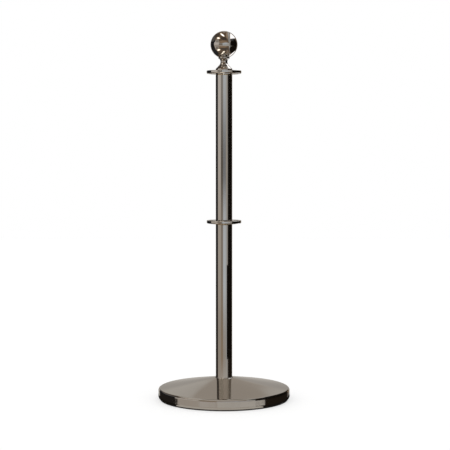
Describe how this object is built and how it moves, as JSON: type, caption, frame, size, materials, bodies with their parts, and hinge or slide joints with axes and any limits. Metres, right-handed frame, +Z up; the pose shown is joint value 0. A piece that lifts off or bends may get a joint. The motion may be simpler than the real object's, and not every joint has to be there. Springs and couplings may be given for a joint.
{
  "type": "rope barrier stanchion",
  "caption": "Free-standing rope post: ball finial on a turned neck, swivelling slotted rope rings, round steel tube and a weighted low cone base on a rubber ring.",
  "frame": {"origin": "on the floor, on the post's axis", "axes": "+Z up along the post; -Y towards the viewer"},
  "size_m": [0.359, 0.359, 1],
  "materials": {
    "polished_steel": "mirror polished dark steel",
    "satin_ring": "polished on the rim, turned grain on the faces",
    "satin_tube": "polished with fine grain along the tube",
    "base_steel": "spun and polished, fine turning grain",
    "turned_steel": "turned",
    "zinc_steel": "zinc plated",
    "spring_steel": "oil blackened",
    "brass_bush": "turned",
    "nylon": "matt",
    "cast_iron": "sand cast, black paint",
    "rubber": "matt black"
  },
  "bodies": {
    "post": {"lower_tube": "satin_tube", "foot_plug": "turned_steel", "middle_plug": "turned_steel", "middle_ring_bush": "brass_bush", "middle_ring_washer": "nylon", "joiner_stud": "zinc_steel", "upper_tube_insert": "turned_steel", "upper_tube": "satin_tube", "top_plug": "turned_steel", "top_ring_bush": "brass_bush", "base_cover": "base_steel", "iron_weight": "cast_iron", "foot_ring": "rubber", "centre_bolt": "zinc_steel", "flat_washer": "zinc_steel", "spring_washer": "spring_steel"},
    "top_ring": {"top_ring": "satin_ring"},
    "middle_ring": {"middle_ring": "satin_ring"},
    "finial_carrier": {"finial_washer": "nylon"},
    "finial": {"finial_ball": "polished_steel", "ball_insert": "turned_steel", "finial_neck": "polished_steel", "finial_stud": "zinc_steel"}
  },
  "joints": [
    {"name": "top_ring_swivel", "type": "hinge", "parent": "post", "child": "top_ring", "pos_m": [0, 0, 0.8884], "axis": [0, 0, 1], "continuous": true},
    {"name": "middle_ring_swivel", "type": "hinge", "parent": "post", "child": "middle_ring", "pos_m": [0, 0, 0.4839], "axis": [0, 0, 1], "continuous": true},
    {"name": "finial_lift", "type": "slide", "parent": "post", "child": "finial_carrier", "axis": [0, 0, 1], "range_m": [0, 0.0151]},
    {"name": "finial_turn", "type": "hinge", "parent": "finial_carrier", "child": "finial", "pos_m": [0, 0, 0.9], "axis": [0, 0, 1], "range_deg": [0, 3600]}
  ],
  "couplings": [
    {"joint": "finial_lift", "follows": "finial_turn", "m_per_rad": 0.00023873}
  ]
}
